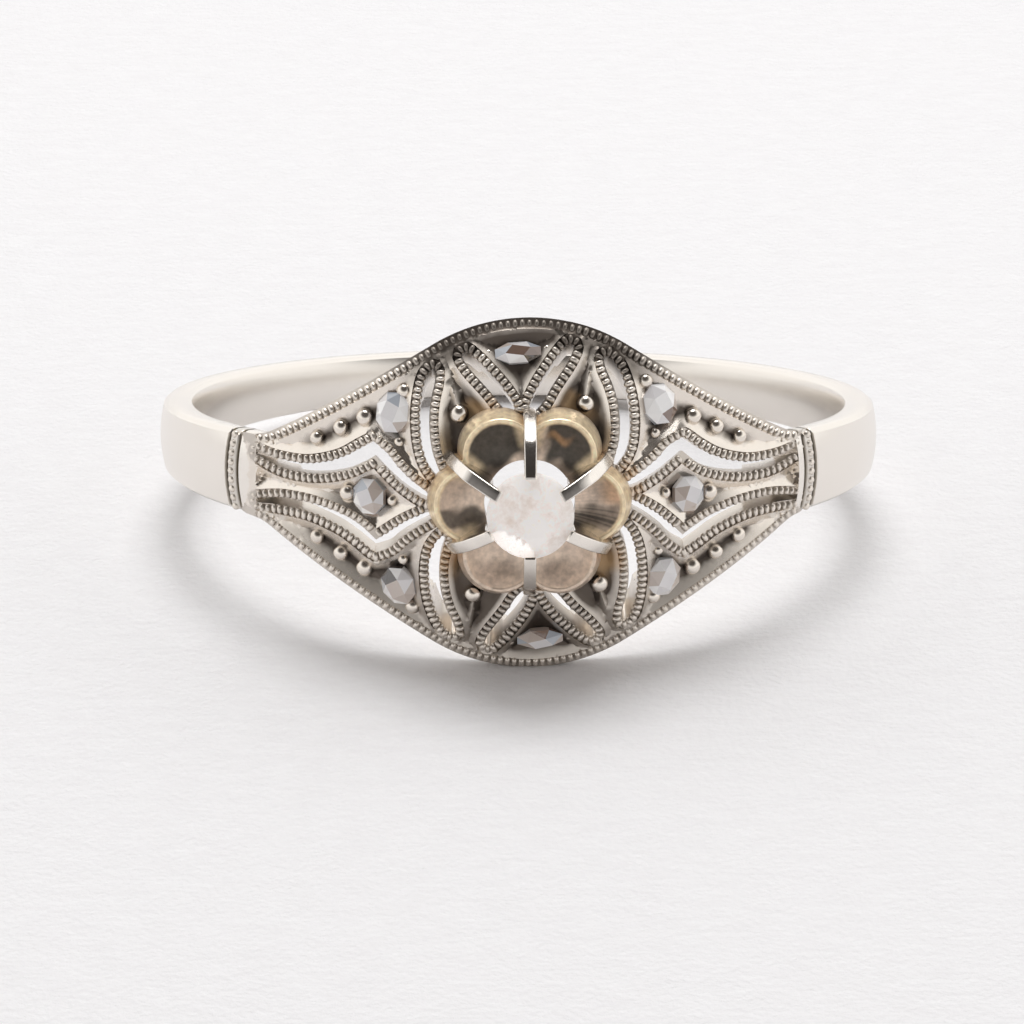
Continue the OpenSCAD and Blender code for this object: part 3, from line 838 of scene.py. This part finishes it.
def even_along(loop, pitch):
    """Points at an even pitch round a closed loop, with the direction there."""
    step = np.linalg.norm(np.roll(loop, -1, 0) - loop, axis=1)
    at = np.concatenate([[0], np.cumsum(step)])
    n = max(3, round(at[-1] / pitch))
    t = np.linspace(0, at[-1], n, endpoint=False)
    closed = np.vstack([loop, loop[:1]])
    p = np.stack([np.interp(t, at, closed[:, k]) for k in (0, 1)], 1)
    e = np.stack([np.interp((t + 0.02) % at[-1], at, closed[:, k]) for k in (0, 1)], 1)
    return p, unit(e - p)


def bead_at(q, d, lengthwise, across, high, sink):
    """A bead on the dome at a settled point, with d its direction in the drawing."""
    n = dome_normal(q)[0]
    along = np.array([d[0], 0, d[1]])
    along = unit(along - n * along.dot(n))
    side = np.cross(n, along)
    at = on_dome(q, DOME_R - sink)[0]
    return placed(BEAD, at, along * lengthwise, side * across, n * high)


def build_wire_beads():
    """Beads round every slit, left out where they would crowd, meet the rim or lie under the flower."""
    length, width, high = WIRE_BEAD
    off, pitch = WIRE_ROW
    parts, taken = [], np.zeros((0, 2))
    for loop in SLIT_LOOPS:
        p, d = even_along(loop + off * outward_of(loop), pitch)
        slit, rim = far(SLIT_TREE, p), far(RIM_TREE, p)
        for at, way, s, r in zip(p, d, slit, rim):
            if s < SLIT_ROOM or r < RIM_ROOM or np.hypot(at[0] - HEAD_SHIFT, at[1]) < FLOWER_ROOM:
                continue
            if len(taken) and np.hypot(*(taken - at).T).min() < BEAD_ROOM:
                continue
            taken = np.vstack([taken, at])
            wear = rng.uniform(0.9, 1.06) * (1 - 0.25 * ramp(abs(at[0]), 6.0, 6.9))
            parts.append(bead_at(at, way, length * wear, width * wear, high, 0.055 + 0.02 * rng.random()))
    return joined(parts)


def build_rim_beads():
    """Beads along the rim, sunk where it is worn, up to the end bars."""
    length, width, high = RIM_BEAD
    off, pitch = RIM_ROW
    parts = []
    p, d = even_along(RIM_LOOP - off * outward_of(RIM_LOOP), pitch)
    for at, way in zip(p, d):
        if abs(at[0] - HEAD_SHIFT) > RIM_ROW_X:
            continue
        wear = rng.uniform(0.92, 1.05)
        low = 0.028 * worn(*at)
        parts.append(bead_at(at, way, length * wear, width * wear, high, 0.07 + low + 0.015 * rng.random()))
    return joined(parts)


def round_finger(angle, r, z):
    """A place at the angle from the middle of the face, the distance r and the height z."""
    a = radians(angle)
    return np.array([r * sin(a), -r * cos(a), z])


def build_bar_beads():
    """A row of beads up each end bar, between its two grooves."""
    length, width, high = BAR_BEAD
    parts = []
    for angle in (BAR_DEG, -BAR_DEG):
        for k in range(-BAR_SIDE, BAR_SIDE + 1):
            z = k * BAR_SPACE
            out = round_finger(angle, 1, 0)
            round_way = np.cross([0, 0, 1.0], out)
            at = round_finger(angle, crown_at(z) - 0.03, z)
            parts.append(placed(BEAD, at, np.array([0, 0, length]), round_way * width, out * high))
    return joined(parts)


for name, (verts, faces) in (
    ("wire_milgrain", build_wire_beads()),
    ("rim_milgrain", build_rim_beads()),
    ("end_bar_milgrain", build_bar_beads()),
):
    flat = verts[:, [0, 2]]
    # Painted shade in the gaps between beads, on the rim over the flower and beside the flower.
    dirt = np.tile(BEAD_GAP_SHADE, len(verts) // len(BEAD_GAP_SHADE)) + top_shade(flat) + 0.26 * flower_shade(flat)
    piece = new_mesh(name, verts, faces, BEAD_GOLD, dirt=dirt, stain=gilt_stain(flat))
    dress(piece)

# Grains
GRAIN_BALL = ball_mesh(20, 12)


def build_grains():
    """Balls a little out of round, with painted shade low down and on the side toward the flower."""
    parts, dirt = [], []
    for q, r in all_grains():
        n = dome_normal(q)[0]
        side = unit(np.cross(n, [1, 0, 0]))
        at = on_dome(q, FIELD_R + 0.06)[0]
        lean = rng.normal(0, 0.03, 3)
        ball = placed(GRAIN_BALL, at, np.cross(side, n) * r, side * r * (1 + lean[0]), n * r * (1 + lean[1]))
        # Painted shade low down and on the side toward the flower.
        inward = (ball[0] - at) @ np.array([-np.sign(q[0]), 0.2, -0.35]) / r
        dirt.append(0.85 * ramp(inward, 0.25, 0.85))
        parts.append(ball)
    verts, faces = joined(parts)
    return new_mesh("grains", verts, faces, GOLD, dirt=np.concatenate(dirt))


dress(build_grains())

# The band. Its section: steps over the crown, and the turns of the soft outer and inner edge.
CROWN_STEPS = 17
OUTER_TURNS, OUTER_SOFT = (60, 30, 0), 0.16
INNER_TURNS, INNER_SOFT = (0, 45, 90), 0.24
# Before these angles the inner face dips under the head's back.
INNER_DIP = (54.8, 56.0)
# How far from the finger's axis the band's middle lies, on average.
BAND_MIDDLE_R = 9.1


def half_width(angle):
    """The band narrows evenly from its seam with the head to the back."""
    seam_y = -BAND_R * cos(radians(SEAM_GROOVE))
    y = -BAND_MIDDLE_R * cos(radians(angle))
    t = min(max((y - seam_y) / (BAND_R - seam_y), 0), 1)
    return (BAND_SEAM_W + t * (BAND_BACK_W - BAND_SEAM_W)) / 2


def groove_at(angle):
    """How deep the two grooves on each shoulder cut at this angle."""
    a = min(angle, 360 - angle)
    near = min(abs(a - BAR_GROOVE), abs(a - SEAM_GROOVE))
    return GROOVE_DEPTH * max(0, 1 - (near / (GROOVE_DEG * 0.9)) ** 2) ** 0.7


def band_ring(angle):
    """The band's section: flat inside, crowned outside, with soft edges."""
    w, groove = half_width(angle), groove_at(angle)
    inner = FINGER_R + SKIN * (1 - slope(min(angle, 360 - angle), *INNER_DIP))
    rows = []
    for t in np.linspace(-1, 1, CROWN_STEPS):
        z = t * (w - OUTER_SOFT * 0.7)
        rows.append((crown_at(z) - groove, z))
    outer = crown_at(w) - groove * 0.6
    for a in np.radians(OUTER_TURNS).tolist():
        rows.append((outer - OUTER_SOFT * (1 - sin(a)), w - OUTER_SOFT * (1 - cos(a))))
    for a in np.radians(INNER_TURNS).tolist():
        rows.append((inner + INNER_SOFT * (1 - sin(a)), w - INNER_SOFT * (1 - cos(a))))
    mirrored = [(r, -z) for r, z in rows[CROWN_STEPS:]][::-1]
    return [round_finger(angle, r, z) for r, z in rows + mirrored]


def band_angles():
    """Close together over the two grooves of each shoulder, and wider round the back."""
    right = [48.25, 48.6, 49.0, *np.arange(49.3, 53.4, 0.08)]
    left = [*np.arange(306.6, 310.8, 0.08), 311.2, 312.0, 312.8, 313.6, 314.1]
    return [*right, *np.arange(53.6, 306.5, 1.2), *left]


def build_band():
    angles = band_angles()
    rings = [band_ring(a) for a in angles]
    m = len(rings[0])
    faces = [[a, d, c, b] for a, b, c, d in grid_faces(len(angles), m)]
    last = (len(angles) - 1) * m
    faces.append(list(range(m)))
    faces.append([last + k for k in range(m)][::-1])
    # The last point of the upper inside edge and the first of the lower one bound the inner face.
    upper = CROWN_STEPS + len(OUTER_TURNS) + len(INNER_TURNS) - 1
    inner_face = [upper, upper + 1]
    # Painted shade in the grooves; the strip between each pair of grooves and the inner face are a little
    # darker.
    dirt = []
    for a in angles:
        strip = 0.22 if BAR_GROOVE < min(a, 360 - a) < SEAM_GROOVE else 0.0
        row = np.full(m, max(strip, min(1.0, 1.6 * groove_at(a) / GROOVE_DEPTH)))
        row[inner_face] = np.maximum(row[inner_face], 0.07)
        dirt += row.tolist()
    return new_mesh("band", [p for ring in rings for p in ring], faces, BAND_GOLD, 35, dirt=dirt)


dress(build_band())

# The flower
PETAL_TOP = DOME_FRONT + PETAL_RISE
DISH_IN = PETAL_R - PETAL_EDGE
DISH_R = (DISH_IN ** 2 + PETAL_DISH ** 2) / (2 * PETAL_DISH)
# Points round the flower, and from its hole to a petal's edge.
PETAL_ACROSS, PETAL_STEPS = 288, 56
# The petals' flank, from the edge down: distance past the edge, height over it.
FLANK = [
    (0.0, -0.03), (0.012, -0.09), (0.03, -0.18), (0.06, -0.30), (0.10, -0.42), (0.15, -0.56), (0.17, -0.75),
]
# Beige is the flower's own colour and taupe its streaks, also used for painted shade low on the flank; rust
# and orange are old stains; cream is for painted highlights and olive black for painted dark reflections.
CREAM_HIGHLIGHT, BEIGE, RUST = (1.0, 0.82, 0.56), (0.74, 0.60, 0.485), (0.44, 0.26, 0.13)
OLIVE_BLACK_REFLECTION, TAUPE, ORANGE = (0.1, 0.088, 0.074), (0.63, 0.51, 0.42), (0.70, 0.39, 0.17)


def on_flower(points):
    """Flower places, across, up and out of the face, in the ring's frame."""
    p = np.atleast_2d(np.asarray(points, float))
    return np.stack([p[:, 0] + HEAD_SHIFT, -p[:, 2], p[:, 1]], 1)


def petal_reach(angle):
    """The flower's outline: six arcs."""
    off = (angle + pi / 6) % (pi / 3) - pi / 6
    return PETAL_OUT * cos(off) + sqrt(PETAL_R ** 2 - (PETAL_OUT * sin(off)) ** 2)


def petal_height(x, y):
    """The tops of the petals: six scoops with thin edges."""
    h = PETAL_TOP
    for k in range(6):
        a = k * pi / 3
        d = hypot(x - PETAL_OUT * cos(a), y - PETAL_OUT * sin(a))
        if d < DISH_IN:
            h = min(h, PETAL_TOP + DISH_R - PETAL_DISH - sqrt(DISH_R ** 2 - d * d))
    return h


def mixed(a, b, t):
    return np.array(a) * (1 - t) + np.array(b) * t


def petal_tone(x, y):
    """The colour of a petal's top: painted dark reflections in the scoops above, plain beige below, painted
    highlights on the edges and saddles, and stains.
    """
    turn, out = degrees(atan2(y, x)) % 360, hypot(x, y)
    # The petal's number, from the right one round to the left, and the place in its scoop.
    k = int(((turn + 30) % 360) // 60)
    a = radians(60 * k)
    dx, dy = x - PETAL_OUT * cos(a), y - PETAL_OUT * sin(a)
    d, up = hypot(dx, dy) / DISH_IN, dy / DISH_IN
    scoop = 1 - ramp(d, 0.9, 0.98)
    wander = 0.07 * sin(7 * x + 4 * y + k) + 0.05 * sin(11 * x - 9 * y)
    streak = 0.5 + 0.5 * sin(turn * 3.1 + 1.7 * sin(turn * 1.3))
    join = abs((turn % 60) - 30)
    # Painted highlight on the edges of all but the lower two petals.
    edge = CREAM_HIGHLIGHT
    # Painted dark reflections in the scoops of the two upper petals and in a band across the right and left
    # ones; the lower two stay plain. Rust and orange are stains.
    if k in (1, 2):
        dark = ramp(out + wander, 1.08, 1.34) * ramp(up + wander, -0.95, -0.6)
        if k == 1:
            dark *= ramp(dx + 0.6 * wander, -0.42, -0.2)
        else:
            dark *= ramp(-dx + 0.6 * wander, -0.68, -0.5)
        tone = mixed(BEIGE, OLIVE_BLACK_REFLECTION, dark)
        if k == 1:
            bend = dy - 0.42 + 0.12 * sin(9 * dx)
            smudge = 1 - ramp(hypot(dx / 0.42, bend / 0.17), 0.2, 1.1)
            tone = mixed(tone, RUST, 0.75 * smudge)
    elif k == 0:
        band = ramp(up + wander, -0.85, -0.65) * (1 - ramp(up + wander, -0.3, 0.15))
        tone = mixed(mixed(BEIGE, TAUPE, streak), OLIVE_BLACK_REFLECTION, band * (0.6 + 0.35 * streak))
        tone = mixed(tone, ORANGE, 0.45 * ramp(dx, 0.2, 0.6) * ramp(up, -0.1, 0.2))
    elif k == 3:
        band = ramp(up + wander, -0.85, -0.6) * (1 - ramp(up + wander, -0.25, 0.0))
        tone = mixed(BEIGE, OLIVE_BLACK_REFLECTION, 0.85 * band * ramp(-dx, -0.6, -0.2))
    else:
        tone = mixed(BEIGE, TAUPE, 0.5 + 4 * wander)
        edge = BEIGE
    # Orange stains at the joins, and painted highlights on the saddles between the upper and side petals.
    seam = (1 - ramp(join + 20 * wander, 1.0, 4.5)) * ramp(out, 1.35, 1.7)
    saddle = (1 - ramp(join, 7, 14)) * ramp(out, 1.3, 1.6) if k < 4 else 0.0
    tone = mixed(mixed(edge, tone, scoop), CREAM_HIGHLIGHT, 0.7 * saddle)
    return mixed(tone, ORANGE, 0.6 * seam)


def flower_column(a):
    """Distance, height and colour with painted light and shade of the flower's surface at one angle, from the
    hole round to it again.
    """
    reach = petal_reach(a)
    c, s = cos(a), sin(a)
    column = [(HOLE_R + 0.02, DOME_FRONT - 0.75, TAUPE), (HOLE_R, DOME_FRONT - 0.4, TAUPE)]
    for j in range(PETAL_STEPS + 1):
        r = HOLE_R + (reach - HOLE_R) * j / PETAL_STEPS
        h = petal_height(r * c, r * s)
        edge = ramp(reach - r, 0.0, 0.025)
        column.append((r - 0.008 * (1 - edge), h - 0.02 * (1 - edge), petal_tone(r * c, r * s)))
    # Rust stains at the joins; painted light on the upper flanks and painted shade low on every flank.
    join = abs((degrees(a) % 60) - 30)
    rust = 0.6 * (1 - ramp(join, 2, 12))
    pale = CREAM_HIGHLIGHT if s > -0.55 else BEIGE
    for more, drop in FLANK:
        low = 0.6 * ramp(-drop, 0.35, 0.7)
        column.append((reach + more, PETAL_TOP + drop, mixed(mixed(pale, TAUPE, low), ORANGE, rust)))
    column.append((HOLE_R + 0.3, PETAL_TOP - 0.75, TAUPE))
    return column


def build_flower():
    verts, tones = [], []
    for i in range(PETAL_ACROSS):
        a = 2 * pi * i / PETAL_ACROSS
        column = flower_column(a)
        for r, h, tone in column:
            verts.append((r * cos(a), r * sin(a), h))
            tones.append(tone)
    faces = grid_faces(PETAL_ACROSS, len(column), closed=True)
    return new_mesh("flower_collet", on_flower(verts), faces, toned_gold("flower_gold"), 35, tone=tones)


dress(build_flower())


def add_claw(work, k):
    """Adds one claw, cut from its side view, to the mesh."""
    rows = CLAW if k < 3 else SHORT_CLAW
    a = radians(60 * k + 30)
    c, s = cos(a), sin(a)
    rings = []
    for side in (-1, 1):
        ring = []
        for r, h in rows:
            narrow = 1.03 - 0.08 * ramp(h, 1.0, 1.5)
            u = side * CLAW_W / 2 * narrow
            ring.append(work.verts.new(on_flower([(r * c - u * s, r * s + u * c, DOME_FRONT + h)])[0]))
        rings.append(ring)
    work.faces.new(rings[0][::-1])
    work.faces.new(rings[1])
    for i in range(len(rows)):
        j = (i + 1) % len(rows)
        work.faces.new([rings[0][i], rings[0][j], rings[1][j], rings[1][i]])


def build_claws():
    """Six claws with softened edges; the flat ends of the upper three have a painted dark reflection."""
    work = bmesh.new()
    for k in range(6):
        add_claw(work, k)
    bmesh.ops.recalc_face_normals(work, faces=work.faces)
    outer = [e for e in work.edges if len(e.link_faces) == 2 and e.calc_face_angle(0) > 1.2]
    bmesh.ops.bevel(work, geom=outer, offset=0.045, segments=3, affect="EDGES", profile=0.5)
    work.normal_update()
    work.verts.index_update()
    verts = [tuple(v.co) for v in work.verts]
    normals = np.array([tuple(v.normal) for v in work.verts])
    faces = [[v.index for v in f.verts] for f in work.faces]
    work.free()
    # Painted dark reflection on the flat ends of the upper three claws, a little lighter on the top one.
    x, y = np.array(verts)[:, 0] - HEAD_SHIFT, np.array(verts)[:, 2]
    out, reach = np.hypot(x, y), np.where(x > 0.5, 1.42, 1.92)
    side = np.abs(normals[:, 0] * -y + normals[:, 2] * x) / out
    flat = (out < reach) & (-normals[:, 1] > 0.6) & (side < 0.35) & (y > -0.2)
    dirt = np.where(flat, np.where(np.abs(x) < 0.5, 0.55, 0.85), 0.0)
    return new_mesh("claws", verts, faces, CLAW_GOLD, 40, dirt=dirt)


dress(build_claws())

# The middle stone: rings round its axis, from the table down, as distance and height over its girdle.
STONE_LEVELS = [
    (0.0, TABLE_H), (0.2, TABLE_H), (0.4, TABLE_H), (0.52, 0.375), (0.6, 0.36),
    (0.66, 0.325), (0.72, 0.287), (0.78, 0.25), (0.84, 0.21), (0.9, 0.17),
    (0.95, 0.137), (1.0, 0.105), (1.04, 0.085), (STONE_R, 0.05), (STONE_R, 0.02),
    (1.05, -0.02), (0.9, -0.12), (0.7, -0.24), (0.4, -0.4), (0.04, -0.55),
]
STONE_ACROSS = 120


def chip_at(turn, r, h):
    """The chipped place at the stone's edge, low on the left, which gets a painted white glint."""
    edge = 0.62 + 0.05 * sin(0.35 * turn) + 0.0002 * (turn - 240) ** 2
    return ramp(r, edge, edge + 0.03) if 205 < turn < 275 and 0 < h else 0.0


def build_middle_stone():
    across, eighth = STONE_ACROSS, pi / 8
    jolt = np.abs(rng.normal(0, 1, (len(STONE_LEVELS), across)))
    verts, chips = [], []
    for j, (r, h) in enumerate(STONE_LEVELS):
        for i in range(across):
            a = 2 * pi * i / across
            # Eight crown facets, worn soft.
            off = (a + eighth) % (pi / 4) - eighth
            facet = cos(eighth) / cos(off)
            out = r * (1 + (facet - 1) * (0.55 if 0.5 < r < 1.0 else 0.0))
            chip = chip_at(degrees(a), r, h)
            frost = 0.003 * jolt[j, i] if h > 0.1 and r > 0.1 else 0.0
            up = DOME_FRONT + STONE_RISE + h - (chip * (0.03 + 0.035 * jolt[j, i]) + frost)
            verts.append((out * cos(a), out * sin(a) - STONE_DROP, up))
            chips.append(chip)
    faces = grid_faces(len(STONE_LEVELS), across)
    start = (len(STONE_LEVELS) - 1) * across
    faces.append([start + i for i in range(across)])
    # The first ring is a single point, so its faces become a fan.
    verts, chips = verts[across - 1 :], chips[across - 1 :]
    faces = [[max(i - across + 1, 0) for i in face] for face in faces]
    faces = [[a, c, d] if a == b else [a, b, c, d] for a, b, c, d in faces[:-1]] + faces[-1:]
    return new_mesh("middle_stone", on_flower(verts), faces, frosted("frosty_stone"), 35, dirt=chips)


dress(build_middle_stone(), "center_stone")

# The small stones: the height of the upright sides, and the table's share of the width.
FOOT_H, TOP_SHARE = 0.14, 0.55
SMALL_GLASS = sparkling("cut_stone")
# Places across and up, half width and half height.
SIDE_SPOT, CORNER_SPOT, V_SPOT = (4.05, 0, 0.46, 0.48), (3.37, 2.23, 0.48, 0.54), (0, 3.69, 0.62, 0.29)
# Name, node, spot, side of the face, turn of the top in steps of an eighth, painted reflection of the table,
# and the painted reflections of the eight slopes from there round.
SMALL_STONES = [
    ("side_stone_r", "side_stone_right", SIDE_SPOT, (1, 1), 0, "p", "wpwtptws"),
    ("side_stone_l", "side_stone_left", SIDE_SPOT, (-1, 1), 1, "p", "psswwtpt"),
    ("corner_stone_tr", "corner_stone_1", CORNER_SPOT, (1, 1), 1, "w", "wpwwpbtw"),
    ("corner_stone_tl", "corner_stone_2", CORNER_SPOT, (-1, 1), 0, "p", "wspwwptw"),
    ("corner_stone_bl", "corner_stone_3", CORNER_SPOT, (-1, -1), 1, "t", "wdspwttp"),
    ("corner_stone_br", "corner_stone_4", CORNER_SPOT, (1, -1), 0, "p", "tpwtwppt"),
    ("upper_stone", "top_stone", V_SPOT, (1, 1), 0, "b", "sptspwdb"),
    ("lower_stone", "bottom_stone", V_SPOT, (1, -1), 1, "p", "btstbpts"),
]


def stone_frame(p):
    """The normal at the stone's place, and its own right and up, turned with the pattern."""
    n = dome_normal(settled(p))[0]
    a = float(turn_at(p[0]))
    right = unit(np.cross(n, [0, 0, -1.0]))
    up = np.cross(right, -n)
    return n, cos(a) * right + sin(a) * up, -sin(a) * right + cos(a) * up


def build_small_stone(name, spot, flip, turn, table, slopes):
    """Eight upright sides, eight slopes and a table of four corners, one painted reflection to a facet."""
    x, y, w, h = spot
    tones = [FACET_REFLECTIONS[letter][0] for letter in slopes]
    p = np.array([x * flip[0], y * flip[1]])
    n, right, up = stone_frame(p)
    low = on_dome(settled(p), FIELD_R + STONE_GAP)[0]

    def corner(k, rise, share):
        b = radians(45 * k + 22.5)
        return low + n * rise + right * w * share * cos(b) + up * h * share * sin(b)

    # Two rings of eight corners, and a table of four over every other corner.
    verts = [corner(k, rise, 1) for rise in (0, FOOT_H) for k in range(8)]
    verts += [corner(2 * k + turn, SMALL_H, TOP_SHARE) for k in range(4)]
    # Each facet gets its painted reflection; the upright sides a little darker, the base taupe.
    faces, tint = [list(range(8))[::-1]], [FACET_REFLECTIONS["t"][0]]
    for k in range(8):
        m = (k + 1) % 8
        faces.append([k, m, 8 + m, 8 + k])
        tint.append(0.8 * tones[k])
    for j in range(4):
        a, b, c = ((2 * j + turn + more) % 8 for more in (0, 1, 2))
        faces.append([8 + a, 8 + b, 16 + j])
        faces.append([8 + b, 8 + c, 16 + (j + 1) % 4, 16 + j])
        tint += [tones[2 * j], tones[2 * j + 1]]
    faces.append([16, 17, 18, 19])
    tint.append(FACET_REFLECTIONS[table][0])
    return new_mesh(name, verts, faces, SMALL_GLASS, 0, tint=tint)


for name, node, *cut in SMALL_STONES:
    dress(build_small_stone(name, *cut), node)

# Floor and light
FLOOR_SIZE = 1.6
# The sky's dark patch: its height in degrees, and where it begins and is full, as cosines.
PATCH_DEG, PATCH_START, PATCH_FULL = 62, 0.45, 0.86
SKY, PATCH, SKY_STRENGTH = (1.0, 0.99, 0.975), (0.07, 0.062, 0.057), 1.12


def build_floor():
    bpy.ops.mesh.primitive_plane_add(size=FLOOR_SIZE)
    floor = bpy.context.object
    floor.name = "paper_floor"
    floor.data.materials.append(paper("paper"))


def build_sky():
    """Bright all round, with a dark patch high up on the camera's side."""
    world = bpy.data.worlds.new("studio")
    bpy.context.scene.world = world
    world.use_nodes = True
    tree = world.node_tree
    rise = radians(PATCH_DEG)
    facing = add(tree, "VectorMath")
    facing.operation = "DOT_PRODUCT"
    put(tree, facing, 0, add(tree, "TexCoord").outputs["Generated"])
    put(tree, facing, 1, (0, -cos(rise), sin(rise)))
    dark = add(tree, "MapRange", Value=facing.outputs["Value"], From_Min=PATCH_START, From_Max=PATCH_FULL)
    dark.interpolation_type = "SMOOTHSTEP"
    back = tree.nodes["Background"]
    put(tree, back, "Color", mixed_colours(tree, dark.outputs["Result"], SKY, PATCH))
    put(tree, back, "Strength", SKY_STRENGTH)


def disk_light(name, place, target, size, power):
    light = bpy.data.lights.new(name, "AREA")
    light.shape, light.size, light.energy = "DISK", size, power
    obj = linked(name, light)
    obj.location = place
    obj.rotation_euler = (Vector(target) - Vector(place)).to_track_quat("-Z", "Y").to_euler()


build_floor()
build_sky()
disk_light("soft_top", place=(0, 0.065, 0.235), target=(0, 0, 0.002), size=0.15, power=0.3)
bpy.context.scene.view_settings.view_transform = "Standard"
bpy.context.scene.view_settings.look = "None"
